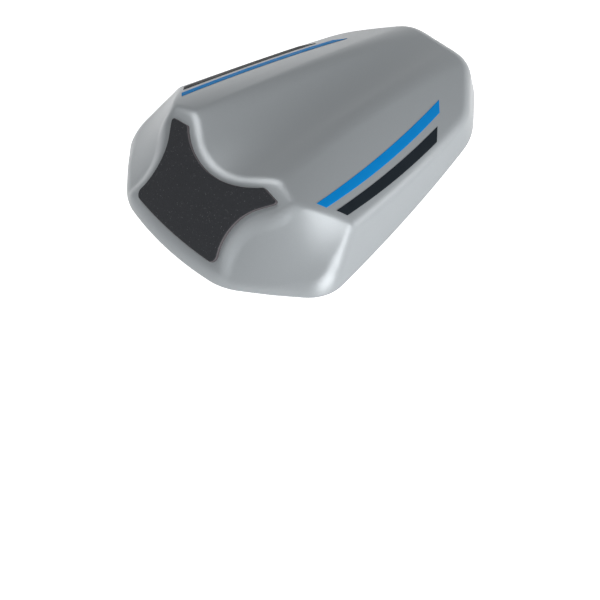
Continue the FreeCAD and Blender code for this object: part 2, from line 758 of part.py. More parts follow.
def striker_washer(x):
    """Washer on the pocket's ceiling."""
    bottom = POCKET_CEILING + PLATE_THICKNESS
    top = bottom + WASHER_THICKNESS
    stud = STRIKER_STUD_RADIUS + STRIKER_HOLE_CLEARANCE
    bore = rod(stud, bottom, top, x, POCKET_CENTRE_Y)
    return rod(WASHER_RADIUS, bottom, top, x, POCKET_CENTRE_Y).cut(bore)


def striker_nut(x):
    """Hexagon nut on a stud of the striker."""
    bottom = POCKET_CEILING + PLATE_THICKNESS + WASHER_THICKNESS
    top = bottom + NUT_HEIGHT
    nut = hexagon(NUT_ACROSS_FLATS, bottom, top, x, POCKET_CENTRE_Y)
    return nut.cut(rod(STRIKER_STUD_RADIUS, bottom, top, x, POCKET_CENTRE_Y))


def bumper(x, y):
    """Rubber buffer: a rounded disc with a stem and a barb above the floor."""
    floor_top = FLOOR_BOTTOM + PLATE_THICKNESS
    disc = rod(BUMPER_RADIUS, BUMPER_BOTTOM, FLOOR_BOTTOM, x, y)
    rims = [e for e in disc.Edges if e.Closed and e.Vertexes[0].Z == BUMPER_BOTTOM]
    disc = disc.makeFillet(BUMPER_ROUNDING, rims)
    stem = rod(BUMPER_STEM_RADIUS, FLOOR_BOTTOM, floor_top, x, y)
    barb = Part.makeCone(
        BUMPER_BARB_RADIUS, BUMPER_BARB_TIP_RADIUS, BUMPER_BARB_HEIGHT, Vector(x, y, floor_top)
    )
    return disc.fuse([stem, barb]).Solids[0]


outer = cowl_form(0.0, 0.0)
film = cowl_form(FILM_THICKNESS, 0.0)
write("cowl_shell", cowl_shell(outer))
write("backrest_pad", backrest_pad(outer))

blue_inner = (BLUE_INNER_FRONT, BLUE_INNER_MIDDLE, BLUE_INNER_TAIL)
blue_outer = (BLUE_OUTER_FRONT, BLUE_OUTER_MIDDLE, BLUE_OUTER_TAIL)
black_inner = (BLACK_INNER_FRONT, BLACK_INNER_MIDDLE, BLACK_INNER_TAIL)
black_outer = (BLACK_OUTER_FRONT, BLACK_OUTER_MIDDLE, BLACK_OUTER_TAIL)
blue_stripe = stripe(blue_inner, blue_outer, film, outer)
black_stripe = stripe(black_inner, black_outer, film, outer)
write("blue_stripe_right", blue_stripe)
write("blue_stripe_left", mirrored(blue_stripe))
write("black_stripe_right", black_stripe)
write("black_stripe_left", mirrored(black_stripe))

write("base_plate", base_plate())
write("boss_inserts", Part.makeCompound([boss_insert(x, y) for x, y in boss_places()]))
write("base_screws", Part.makeCompound([base_screw(x, y) for x, y in boss_places()]))
write("base_washers", Part.makeCompound([base_washer(x, y) for x, y in boss_places()]))

legs = (-STRIKER_HALF_WIDTH, STRIKER_HALF_WIDTH)
write("lock_striker", lock_striker())
write("striker_plate", striker_plate())
write("striker_washers", Part.makeCompound([striker_washer(x) for x in legs]))
write("striker_nuts", Part.makeCompound([striker_nut(x) for x in legs]))

for node, (x, y) in bumper_places().items():
    write(node, bumper(x, y))
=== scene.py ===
"""Looks of a seat cowl: painted shell, grained pad, film stripes and the hidden fittings.

Lengths in the dataclasses are millimetres in the part's own frame: +Y to the tail, +X to the
rider's right, +Z up, z = 0 on the lower rim. Meshes are written in metres.
"""

import json
import logging
import math
from collections.abc import Callable
from dataclasses import dataclass
from enum import Enum

import bpy
import numpy as np
from mathutils import Matrix, Vector


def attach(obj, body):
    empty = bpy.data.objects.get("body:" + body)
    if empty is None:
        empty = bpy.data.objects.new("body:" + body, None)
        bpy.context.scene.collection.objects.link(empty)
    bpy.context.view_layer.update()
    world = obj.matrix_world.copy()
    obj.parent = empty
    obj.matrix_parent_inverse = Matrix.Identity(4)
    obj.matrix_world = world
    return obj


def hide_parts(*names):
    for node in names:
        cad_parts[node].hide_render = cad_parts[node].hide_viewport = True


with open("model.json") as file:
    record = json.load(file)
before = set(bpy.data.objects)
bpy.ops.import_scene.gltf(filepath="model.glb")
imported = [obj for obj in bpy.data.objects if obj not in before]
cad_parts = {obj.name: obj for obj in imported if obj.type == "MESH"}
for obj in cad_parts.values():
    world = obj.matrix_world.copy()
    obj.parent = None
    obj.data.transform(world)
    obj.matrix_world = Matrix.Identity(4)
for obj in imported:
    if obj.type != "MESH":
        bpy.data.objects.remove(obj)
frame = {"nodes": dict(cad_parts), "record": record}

MM = 0.001
UP = (0.0, 0.0, 1.0)
WHITE = (1.0, 1.0, 1.0, 1.0)
ROOT = "root"
Array = np.ndarray
Socket = bpy.types.NodeSocket
Pair = tuple[float, float]
Triple = tuple[float, float, float]
log = logging.getLogger("seat_cowl")


# Sizes


@dataclass(frozen=True)
class WallSize:
    """One wall of the rim: plan ends, outward bow at the middle and lean from upright."""

    start: Pair
    end: Pair
    bow: float
    lean_deg: float


@dataclass(frozen=True)
class RimSizes:
    """Right half of the rim before rounding, the bow and lean of its walls, and its radii."""

    front: Pair = (57.9, -143.4)
    side: Pair = (116.8, -95.9)
    tail: Pair = (78.6, 97.5)
    end: Pair = (35.5, 148.0)
    bows: tuple[float, float, float, float, float] = (6.1, 0.8, 3.4, 0.8, 1.5)
    leans_deg: tuple[float, float, float, float, float] = (12.0, 12.0, 17.0, 14.0, 14.5)
    radii: tuple[float, float, float, float] = (24.0, 28.0, 45.0, 25.0)
    shoulder_radius: float = 14.0
    ridge_radius: float = 30.0
    ridge_from: Pair = (78.0, -66.0)
    ridge_to: Pair = (102.0, -104.0)
    wall: float = 3.0

    @property
    def foremost_y(self) -> float:
        """Where the bowed front wall reaches furthest forward."""
        return self.front[1] - self.bows[0]

    def shoulder_at(self, points: Array) -> Array:
        """Radius of the shoulder, which grows over the front ridges.

        The growth is the product of two smooth steps, one across and one along.

        Args:
            points: Positions, with x taken as its distance from the middle plane.

        Returns:
            Radii.
        """
        start = np.array(self.ridge_from)
        share = np.clip((points[..., :2] - start) / (np.array(self.ridge_to) - start), 0.0, 1.0)
        share = np.prod(smooth_step(share), axis=-1)
        return self.shoulder_radius + (self.ridge_radius - self.shoulder_radius) * share

    def walls(self) -> list[WallSize]:
        """The five walls that bound the half form, from the front to the end.

        Returns:
            Walls in order, so that neighbours share a corner.
        """
        right = (self.front, self.side, self.tail, self.end)
        corners = [(-self.front[0], self.front[1]), *right, (-self.end[0], self.end[1])]
        return [WallSize(*wall) for wall in zip(corners, corners[1:], self.bows, self.leans_deg)]


@dataclass(frozen=True)
class CrownSizes:
    """Crests and channel of the crown at the front, middle and tail stations."""

    stations: Triple = (-80.0, 0.0, 140.0)
    crest_half_spacing: Triple = (41.2, 34.8, 23.7)
    crest_height: Triple = (55.0, 51.7, 31.1)
    channel_depth: Triple = (7.8, 5.4, 1.1)
    panel_slope: Triple = (0.025, 0.254, 0.347)
    panel_roundness: Triple = (0.0040, 0.0026, 0.0004)
    crest_blend: float = 6.0


@dataclass(frozen=True)
class FaceSizes:
    """Leaning front face, measured back from the front of the rim."""

    foot_distance: float = 10.0
    foot_height: float = 14.6
    top_distance: float = 60.0
    top_height: float = 50.3
    bulge: float = 3.4
    bow: float = 3.2
    bow_half_width: float = 50.0
    rim_blend: float = 2.2

    @property
    def slope(self) -> float:
        """Rise over run of the face's plane."""
        return (self.top_height - self.foot_height) / (self.top_distance - self.foot_distance)


@dataclass(frozen=True)
class FacetSizes:
    """Scooped facet over each front chamfer of the rim."""

    foot_height: float = 5.0
    slope: float = 1.13
    steepest_at: float = 36.0
    fan_length: float = 60.0
    hollow: float = 2.0
    depth: float = 36.0
    blend: float = 5.0


@dataclass(frozen=True)
class PlatformSizes:
    """Edge of the platform that stands out of the facets, and its flank's width."""

    centre: Pair = (78.3, -121.8)
    radius: float = 34.0
    wing_x: float = 61.0
    flank: float = 11.0


@dataclass(frozen=True)
class PadSizes:
    """Plan outline and thickness of the pad on the front face."""

    front_margin: float = 5.9
    corner_x: float = 48.2
    waist_centre: Pair = (72.1, -123.0)
    waist_radius: float = 30.2
    wing_outer: Pair = (60.2, -92.3)
    wing_inner_x: float = 43.1
    top_centre_y: float = -24.1
    top_radius: float = 79.2
    corner_radius: float = 4.0
    tip_radius: float = 1.5
    thickness: float = 3.0
    edge_radius: float = 1.1
    crown: float = 0.28
    centre_y: float = -122.0
    search: float = 14.0

    def low_corner(self) -> Array:
        """Front corner of the outline before rounding, on the waist's circle."""
        drop = math.sqrt(self.waist_radius**2 - (self.corner_x - self.waist_centre[0]) ** 2)
        return np.array([self.corner_x, self.waist_centre[1] - drop])

    def inner_corner(self) -> Array:
        """Inner corner of the wing before rounding, on the top's circle."""
        drop = math.sqrt(self.top_radius**2 - self.wing_inner_x**2)
        return np.array([self.wing_inner_x, self.top_centre_y - drop])


@dataclass(frozen=True)
class StripeSizes:
    """One stripe of the right side: three plan points along each long edge."""

    name: str
    inner: tuple[Pair, ...]
    outer: tuple[Pair, ...]


BLUE_STRIPE = StripeSizes(
    "blue_stripe",
    ((76.3, -67.8), (67.4, 8.0), (51.7, 83.8)),
    ((82.0, -64.0), (74.3, 8.0), (60.5, 75.4)),
)
BLACK_STRIPE = StripeSizes(
    "black_stripe",
    ((86.9, -58.8), (80.1, 3.0), (68.7, 64.5)),
    ((93.0, -54.1), (87.5, 0.0), (78.2, 54.0)),
)
FILM_THICKNESS = 0.3


@dataclass(frozen=True)
class BossSizes:
    """Bored posts that carry the base plate's screws, along each side."""

    shares: Triple = (0.1, 0.55, 1.0)
    inset: float = 24.0
    radius: float = 5.5
    foot: float = 14.5
    bore_radius: float = 3.55
    bore_depth: float = 6.0
    pilot_radius: float = 2.5
    pilot_depth: float = 3.0
    around: int = 48
    search: Pair = (1.0, 80.0)

    def profile(self) -> list[Pair]:
        """Section of the post, from the pilot's end round to the outer foot.

        Returns:
            Radius and height of each corner.
        """
        step = self.foot + self.bore_depth
        end = step + self.pilot_depth
        return [
            (0.0, end),
            (self.pilot_radius, end),
            (self.pilot_radius, step),
            (self.bore_radius, step),
            (self.bore_radius, self.foot),
            (self.radius, self.foot),
        ]

    def places(self, rim: RimSizes) -> list[Pair]:
        """Plan positions on both sides, set in square to the rim's straight side.

        Args:
            rim: Sizes of the rim.

        Returns:
            The positions.
        """
        run = np.subtract(rim.tail, rim.side)
        inward = np.array([-run[1], run[0]]) / float(np.hypot(*run)) * self.inset
        right = [tuple(np.array(rim.side) + run * share + inward) for share in self.shares]
        return right + [(-x, y) for x, y in right]


# The form as formulas

HALVINGS = 24
LEAST_SINE_SQUARED = 0.03
TINY = 1e-9


def smooth_step(share: Array) -> Array:
    """Cubic step from 0 to 1 that starts and ends level."""
    return share * share * (3.0 - 2.0 * share)


def hump(height: float, share: Array) -> Array:
    """Parabola that is zero at shares 0 and 1 and reaches its height halfway."""
    return 4.0 * height * share * (1.0 - share)


def turns(count: int, shift: float = 0.0) -> Array:
    """Even steps round a full turn in radians, the first one shifted by part of a step."""
    return 2.0 * np.pi * (np.arange(count) + shift) / count


def through_stations(stations: tuple, values: tuple, y: Array) -> Array:
    """Parabola through three values at three stations.

    Args:
        stations: The three places along Y.
        values: The value at each place.
        y: Where the parabola is wanted.

    Returns:
        The values at y.
    """
    a, b, c = stations
    at_a = values[0] * (y - b) * (y - c) / ((a - b) * (a - c))
    at_b = values[1] * (y - a) * (y - c) / ((b - a) * (b - c))
    at_c = values[2] * (y - a) * (y - b) / ((c - a) * (c - b))
    return at_a + at_b + at_c


def soft_min(a: Array, b: Array, blend: float) -> Array:
    """Smaller of two heights, rounded where they are within the blend of each other."""
    overlap = np.maximum(blend - np.abs(a - b), 0.0) / blend
    return np.minimum(a, b) - overlap * overlap * blend / 4.0


@dataclass(frozen=True)
class Skin:
    """Outer skin of the cowl's top as a height over the plan."""

    rim: RimSizes = RimSizes()
    crown: CrownSizes = CrownSizes()
    face: FaceSizes = FaceSizes()
    facet: FacetSizes = FacetSizes()
    platform: PlatformSizes = PlatformSizes()
    step: float = 0.5

    def crown_height(self, x: Array, y: Array) -> Array:
        """Parabolic channel inside the crests and a falling panel outside them.

        Args:
            x: Distances from the middle plane.
            y: Places along.

        Returns:
            Heights.
        """
        sizes = self.crown
        crest_x = through_stations(sizes.stations, sizes.crest_half_spacing, y)
        crest_z = through_stations(sizes.stations, sizes.crest_height, y)
        depth = through_stations(sizes.stations, sizes.channel_depth, y)
        slope = through_stations(sizes.stations, sizes.panel_slope, y)
        roundness = through_stations(sizes.stations, sizes.panel_roundness, y)
        channel = crest_z - depth * (1.0 - (x / crest_x) ** 2)
        beyond = x - crest_x
        panel = crest_z - slope * beyond - roundness * beyond * np.abs(beyond)
        return soft_min(channel, panel, sizes.crest_blend)

    def face_height(self, x: Array, y: Array) -> Array:
        """Leaning face, bowed in plan, with a parabolic bulge between its foot and top.

        Args:
            x: Distances from the middle plane.
            y: Places along.

        Returns:
            Heights.
        """
        sizes = self.face
        distance = y - self.rim.foremost_y - sizes.bow * (x / sizes.bow_half_width) ** 2
        run = sizes.top_distance - sizes.foot_distance
        rise = sizes.top_height - sizes.foot_height
        share = np.minimum((distance - sizes.foot_distance) / run, 1.0)
        end_slope = (rise - 4.0 * sizes.bulge) / run
        further = np.maximum(distance - sizes.top_distance, 0.0)
        level = sizes.foot_height + rise * share + hump(sizes.bulge, share)
        return level + end_slope * further

    def facet_height(self, x: Array, y: Array) -> Array:
        """Hollow ramp that rises inward from the front chamfer and flattens to both ends.

        Args:
            x: Distances from the middle plane.
            y: Places along.

        Returns:
            Heights.
        """
        sizes = self.facet
        run_x = self.rim.side[0] - self.rim.front[0]
        run_y = self.rim.side[1] - self.rim.front[1]
        length = math.hypot(run_x, run_y)
        from_x = x - self.rim.front[0]
        from_y = y - self.rim.front[1]
        along = (from_x * run_x + from_y * run_y) / length
        inward = (from_y * run_x - from_x * run_y) / length
        slope = sizes.slope / (1.0 + ((along - sizes.steepest_at) / sizes.fan_length) ** 2)
        return sizes.foot_height + slope * inward - hump(sizes.hollow, inward / sizes.depth)

    def beyond_platform(self, x: Array, y: Array) -> Array:
        """Smooth step from 0 on the pad's platform to 1 at the foot of its flank.

        Args:
            x: Distances from the middle plane.
            y: Places along.

        Returns:
            Shares.
        """
        sizes = self.platform
        to_x = np.minimum(x - sizes.centre[0], 0.0)
        to_y = y - sizes.centre[1]
        waist = np.maximum(sizes.radius - np.hypot(to_x, to_y), 0.0)
        wing = np.maximum(x - sizes.wing_x, 0.0)
        share = np.minimum(np.hypot(waist, wing) / sizes.flank, 1.0)
        return smooth_step(share)

    def height(self, x: Array, y: Array) -> Array:
        """Height of the finished skin.

        Args:
            x: Plan positions across; the sign doesn't matter.
            y: Plan positions along.

        Returns:
            Heights above the rim.
        """
        side = np.abs(x)
        face = self.face_height(side, y)
        facet = soft_min(self.facet_height(side, y), face, self.facet.blend)
        share = self.beyond_platform(side, y)
        front = face * (1.0 - share) + facet * share
        return soft_min(self.crown_height(side, y), front, self.face.rim_blend)

    def grown_height(self, x: float, y: float, growth: float) -> float:
        """Height over one plan position of the skin moved outwards by the growth."""
        depth, normal = self.depth_below(np.array([x, y, 0.0]))
        return float((depth + growth) / normal[2])

    def depth_below(self, points: Array) -> tuple[Array, Array]:
        """Distance below the skin and the skin's outward normal.

        Args:
            points: Positions, last axis x, y, z.

        Returns:
            Distance, positive inside, and unit normals.
        """
        step = self.step
        x, y, z = points[..., 0], points[..., 1], points[..., 2]
        slope_x = (self.height(x + step, y) - self.height(x - step, y)) / (2.0 * step)
        slope_y = (self.height(x, y + step) - self.height(x, y - step)) / (2.0 * step)
        steepness = np.sqrt(1.0 + slope_x**2 + slope_y**2)
        normal = np.stack([-slope_x, -slope_y, np.ones_like(slope_x)], axis=-1)
        normal /= steepness[..., None]
        return (self.height(x, y) - z) / steepness, normal


def rounded_corner(
    first: Array, second: Array, first_normal: Array, second_normal: Array, radius: float | Array
) -> tuple[Array, Array]:
    """Depth inside two surfaces whose common edge is rounded by a rolling ball.

    The ball's centre lies one radius below both surfaces. Between the two normals the depth is
    the radius less the distance to that centre; elsewhere it is the smaller of the two depths.
    Surfaces that nearly run into each other are treated as if they met at a small angle.

    Args:
        first: Depth below the first surface.
        second: Depth below the second surface.
        first_normal: Outward normals of the first surface.
        second_normal: Outward normals of the second surface.
        radius: The ball's radius.

    Returns:
        Depth, positive inside, and outward normals.
    """
    cosine = np.sum(first_normal * second_normal, axis=-1)
    sine_squared = np.maximum(1.0 - cosine**2, LEAST_SINE_SQUARED)
    a = radius - first
    b = radius - second
    along_first = (a - b * cosine) / sine_squared
    along_second = (b - a * cosine) / sine_squared
    in_wedge = (along_first > 0.0) & (along_second > 0.0)
    away = np.sqrt(np.maximum(a * a + b * b - 2.0 * a * b * cosine, TINY) / sine_squared)
    depth = np.where(in_wedge, radius - away, np.minimum(first, second))
    mixed = along_first[..., None] * first_normal + along_second[..., None] * second_normal
    mixed = mixed / np.maximum(np.linalg.norm(mixed, axis=-1, keepdims=True), TINY)
    nearer = np.where((first < second)[..., None], first_normal, second_normal)
    return depth, np.where(in_wedge[..., None], mixed, nearer)


@dataclass(frozen=True)
class CowlForm:
    """The cowl's solid form: leaning walls with rounded corners, capped by the skin."""

    skin: Skin = Skin()

    @property
    def rim(self) -> RimSizes:
        """Sizes of the rim."""
        return self.skin.rim

    def wall_depth(self, points: Array) -> tuple[Array, Array]:
        """Depth inside the rounded walls and their outward normals.

        Args:
            points: Positions with x taken as its distance from the middle plane.

        Returns:
            Depth, positive inside, and unit normals.
        """
        depths = []
        normals = []
        for wall in self.rim.walls():
            run = np.subtract(wall.end, wall.start)
            length = float(np.hypot(*run))
            outward = np.array([run[1], -run[0]]) / length
            lean = math.radians(wall.lean_deg)
            offset = points[..., :2] - np.array(wall.start)
            share = offset @ (run / length**2)
            inward = hump(wall.bow, share) - offset @ outward - points[..., 2] * math.tan(lean)
            normal = np.array([*(outward * math.cos(lean)), math.sin(lean)])
            depths.append(inward * math.cos(lean))
            normals.append(np.broadcast_to(normal, points.shape))
        best = None
        for i, radius in enumerate(self.rim.radii):
            pair = rounded_corner(*depths[i : i + 2], *normals[i : i + 2], radius)
            if best is None:
                best = pair
            else:
                smaller = pair[0] < best[0]
                depth = np.where(smaller, pair[0], best[0])
                best = (depth, np.where(smaller[..., None], pair[1], best[1]))
        return best

    def depth(self, points: Array) -> Array:
        """Depth inside the whole form, with the shoulder rounded.

        Args:
            points: Positions in millimetres, last axis x, y, z.

        Returns:
            Depth, positive inside.
        """
        half = points.copy()
        half[..., 0] = np.abs(half[..., 0])
        walls, wall_normal = self.wall_depth(half)
        top, top_normal = self.skin.depth_below(half)
        radius = self.rim.shoulder_at(half)
        return rounded_corner(walls, top, wall_normal, top_normal, radius)[0]


def first_crossing(
    depth: Callable[[Array], Array], origins: Array, directions: Array,
    low: float, high: float, level: float | Array,
) -> Array:
    """Points where rays that leave the form reach a depth, found by halving the interval.

    Args:
        depth: Function from points to depth, positive inside.
        origins: Starts of the rays.
        directions: Unit directions.
        low: Distance at which every ray is still deeper than the level.
        high: Distance at which every ray is past it.
        level: The wanted depth.

    Returns:
        The points found.
    """
    near = np.full(origins.shape[:-1], float(low))
    far = np.full(origins.shape[:-1], float(high))
    for _ in range(HALVINGS):
        middle = (near + far) / 2.0
        inside = depth(origins + directions * middle[..., None]) > level
        near = np.where(inside, middle, near)
        far = np.where(inside, far, middle)
    return origins + directions * ((near + far) / 2.0)[..., None]


# Mesh building


class Wrap(Enum):
    """How a grid closes on itself."""

    OPEN = "open"
    AROUND = "around"


@dataclass(frozen=True)
class Surface:
    """Points in millimetres, with the quads and triangles between them."""

    points: Array
    quads: Array
    triangles: Array

    def joined(self, other: "Surface") -> "Surface":
        """Both surfaces as one, without merging points.

        Args:
            other: The surface to add.

        Returns:
            The pair as one surface.
        """
        shift = len(self.points)
        return Surface(
            np.concatenate([self.points, other.points]),
            np.concatenate([self.quads, other.quads + shift]),
            np.concatenate([self.triangles, other.triangles + shift]),
        )

    def mirrored(self) -> "Surface":
        """The same surface on the other side of the middle plane, still facing outwards."""
        flip = np.array([-1.0, 1.0, 1.0])
        return Surface(self.points * flip, self.quads[:, ::-1], self.triangles[:, ::-1])


def grid_surface(
    rows: Array, wrap: Wrap, first: Array | None = None, last: Array | None = None,
    capped: bool = False,
) -> Surface:
    """Surface on a grid of points.

    Point (i, j) is joined to (i, j + 1), (i + 1, j + 1) and (i + 1, j). Columns of the first and
    last row may share points, which closes a pole or a slit: a quad that two shared points make
    flat becomes a triangle.

    Args:
        rows: Points, rows by columns by three.
        wrap: Whether the last column joins the first.
        first: For each column, the column whose point the first row uses there.
        last: The same for the last row.
        capped: Whether the two ends of a loop are closed across it.

    Returns:
        The surface, with the unused points left out.
    """
    count, columns = rows.shape[:2]
    numbers = np.arange(count * columns).reshape(count, columns)
    if first is not None:
        numbers[0] = numbers[0][first]
    if last is not None:
        numbers[-1] = numbers[-1][last]
    right = np.roll(numbers, -1, axis=1)
    quads = np.stack([numbers[:-1], right[:-1], right[1:], numbers[1:]], axis=-1)
    if wrap is Wrap.OPEN:
        quads = quads[:, :-1]
    quads = quads.reshape(-1, 4)
    if capped:
        k = np.arange(columns // 2 - 1)
        ring = np.stack([k, k + 1, columns - 2 - k, columns - 1 - k], axis=-1)
        quads = np.concatenate([quads, numbers[0][ring[:, ::-1]], numbers[-1][ring]])
    same = quads == np.roll(quads, -1, axis=1)
    flat = same.any(axis=1)
    triangles = quads[flat][~same[flat]].reshape(-1, 3)
    kept = quads[~flat]
    numbers = np.concatenate([kept.ravel(), triangles.ravel()])
    used, turned = np.unique(numbers, return_inverse=True)
    return Surface(
        rows.reshape(-1, 3)[used],
        turned[: kept.size].reshape(-1, 4),
        turned[kept.size :].reshape(-1, 3),
    )


def placed(name: str, data: bpy.types.ID) -> bpy.types.Object:
    """Object that shows some data, linked into the scene.

    Args:
        name: Name of the object.
        data: Its mesh, camera or light.

    Returns:
        The object.
    """
    made = bpy.data.objects.new(name, data)
    bpy.context.scene.collection.objects.link(made)
    return made


def mesh_object(name: str, surface: Surface, sharp_deg: float = 42.0) -> bpy.types.Object:
    """Object with its place in its mesh.

    Args:
        name: Name of the piece.
        surface: Its points and faces.
        sharp_deg: Angle between faces from which an edge is shaded sharp.

    Returns:
        The linked object.
    """
    mesh = bpy.data.meshes.new(name)
    faces = surface.quads.tolist() + surface.triangles.tolist()
    mesh.from_pydata((surface.points * MM).tolist(), [], faces)
    mesh.polygons.foreach_set("use_smooth", np.full(len(mesh.polygons), True))
    mesh.set_sharp_from_angle(angle=math.radians(sharp_deg))
    mesh.update()
    log.info("%s: %d points, %d faces", name, len(mesh.vertices), len(mesh.polygons))
    return placed(name, mesh)


# Finishes

NOISE_RANGE = (0.3, 0.7)
SPECK_EDGE = (0.42, 0.22)
BRUSH_SCALE = (1.0, 1.0, 0.06)


def linear(code: str) -> tuple[float, float, float, float]:
    """Scene-linear colour of a hex code, by the curve of the sRGB standard.

    Args:
        code: Six hex digits after a hash.

    Returns:
        Red, green, blue and alpha.
    """
    shares = [int(code[i : i + 2], 16) / 255.0 for i in (1, 3, 5)]
    made = [s / 12.92 if s <= 0.04045 else ((s + 0.055) / 1.055) ** 2.4 for s in shares]
    return made[0], made[1], made[2], 1.0


class Graph:
    """Shader nodes of one material or world, from an empty tree."""

    def __init__(self, owner: bpy.types.ID) -> None:
        """Empties the owner's tree.

        Args:
            owner: The material or world.
        """
        owner.use_nodes = True
        self.tree = owner.node_tree
        self.tree.nodes.clear()

    def add(
        self, kind: str, settings: dict | None = None, links: dict | None = None
    ) -> bpy.types.Node:
        """Adds a node.

        Args:
            kind: Node type, less the "ShaderNode" that all of them start with.
            settings: Attribute values, or socket values where the key names a socket.
            links: Socket name to output socket.

        Returns:
            The node.
        """
        node = self.tree.nodes.new("ShaderNode" + kind)
        for key, value in (settings or {}).items():
            if isinstance(key, str) and hasattr(node, key):
                setattr(node, key, value)
            else:
                node.inputs[key].default_value = value
        for key, source in (links or {}).items():
            self.tree.links.new(source, node.inputs[key])
        return node

    def noise(self, place: Socket, size: float, detail: float = 2.0) -> Socket:
        """Adds cloudy noise with clouds of a size in millimetres, and gives its value."""
        settings = {"Scale": 1.0 / (size * MM), "Detail": detail}
        return self.add("TexNoise", settings, {"Vector": place}).outputs["Fac"]

    def cells(self, place: Socket, size: float) -> bpy.types.Node:
        """Adds a pattern of random cells of a size in millimetres."""
        return self.add("TexVoronoi", {"Scale": 1.0 / (size * MM)}, {"Vector": place})

    def ramp(self, value: Socket, start: Pair, end: Pair = (0.0, 1.0)) -> Socket:
        """Maps a value from one range to another, and holds it at both ends.

        Args:
            value: Socket of the value.
            start: Range that it comes from.
            end: Range that it goes to.

        Returns:
            Socket of the result.
        """
        names = ("From Min", "From Max", "To Min", "To Max")
        settings = dict(zip(names, (*start, *end)))
        return self.add("MapRange", settings, {"Value": value}).outputs["Result"]


class Grain(Enum):
    """Form of a finish's fine relief."""

    NOISE = "noise"
    CELLS = "cells"
    BRUSHED = "brushed"


@dataclass(frozen=True)
class Finish:
    """Look of one material slot; lengths in millimetres."""

    slot: str
    name: str
    colour: str
    other: str
    patch: float
    roughness: Pair
    metallic: float = 0.0
    coat: float = 0.0
    coat_roughness: float = 0.05
    ior: float = 1.5
    specular: float = 0.5
    grain: Grain = Grain.NOISE
    grain_size: float = 0.6
    grain_depth: float = 0.02
    swell: float = 0.0
    swell_depth: float = 0.0
    speckle: str = ""
    speckle_size: float = 1.0
    speckle_share: float = 0.0


FINISHES = (
    # Sprayed lacquer over fine flake: a satin sheen that follows the form, with faint sparkle.
    # Real flake of 0.03 mm is too fine to show, so its cells are drawn 0.5 mm across.
    Finish(
        "silver_paint", "silver_flake_lacquer_sprayed", "#a2a7aa", "#979ca0", 0.5,
        (0.34, 0.38), metallic=0.2, coat=0.22, coat_roughness=0.26, specular=0.28,
        grain=Grain.CELLS, grain_size=0.5, grain_depth=0.004, swell=7.0, swell_depth=0.008,
    ),
    # Moulded cellular rubber: a matt black that breaks into fine pits, with paler dust specks.
    Finish(
        "pad_rubber", "black_cell_rubber_moulded", "#202226", "#383a3e", 1.1,
        (0.62, 0.85), ior=1.35, grain=Grain.CELLS, grain_size=0.95, grain_depth=0.22,
        speckle="#5c5c60", speckle_size=1.0, speckle_share=0.16,
    ),
    # The same rubber on the pad's edge: smoother and faintly glossy, and its paler colour is a
    # painted sheen.
    Finish(
        "pad_side", "black_cell_rubber_edge_painted_sheen", "#4d494c", "#5a5659", 1.4,
        (0.5, 0.62), ior=1.4, grain_size=0.7, grain_depth=0.05,
    ),
    # Cast vinyl film, calendered: an even saturated blue with a soft gloss.
    Finish(
        "blue_film", "blue_vinyl_film_cast", "#0078be", "#037ec4", 9.0,
        (0.5, 0.6), ior=1.3, specular=0.25, grain_size=1.2, grain_depth=0.003,
        swell=11.0, swell_depth=0.006,
    ),
    # The same film in near black: dark, slightly blue, with a soft gloss.
    Finish(
        "black_film", "black_vinyl_film_cast", "#181f25", "#1e252b", 9.0,
        (0.46, 0.56), ior=1.3, specular=0.25, grain_size=1.2, grain_depth=0.003,
        swell=11.0, swell_depth=0.006,
    ),
    # Glass-filled nylon from an etched mould: a dull black with a fine even pebble.
    Finish(
        "black_plastic", "black_nylon_etch_moulded", "#1a1b1c", "#222324", 3.0,
        (0.5, 0.66), grain=Grain.CELLS, grain_size=0.7, grain_depth=0.05,
    ),
    # Turned brass: warm yellow with fine tool lines.
    Finish(
        "brass", "yellow_brass_turned", "#c9a658", "#b8924a", 2.0,
        (0.24, 0.36), metallic=1.0, grain=Grain.BRUSHED, grain_size=0.4, grain_depth=0.006,
    ),
    # Bright zinc plate: pale grey with a faint cloud of crystals.
    Finish(
        "zinc_steel", "bright_steel_zinc_plated", "#bfc2c4", "#aab0b6", 1.6,
        (0.26, 0.4), metallic=1.0, grain=Grain.CELLS, grain_size=0.6, grain_depth=0.005,
    ),
    # Drawn steel rod, polished: darker grey with lines along it.
    Finish(
        "striker_steel", "plain_steel_drawn", "#a7aaae", "#94989d", 2.4,
        (0.26, 0.38), metallic=1.0, grain=Grain.BRUSHED, grain_size=0.5, grain_depth=0.008,
    ),
    # Moulded solid rubber: matt near-black with a powdery bloom in patches.
    Finish(
        "bumper_rubber", "black_rubber_moulded", "#171719", "#242427", 3.5,
        (0.7, 0.88), grain_size=0.8, grain_depth=0.03,
    ),
)


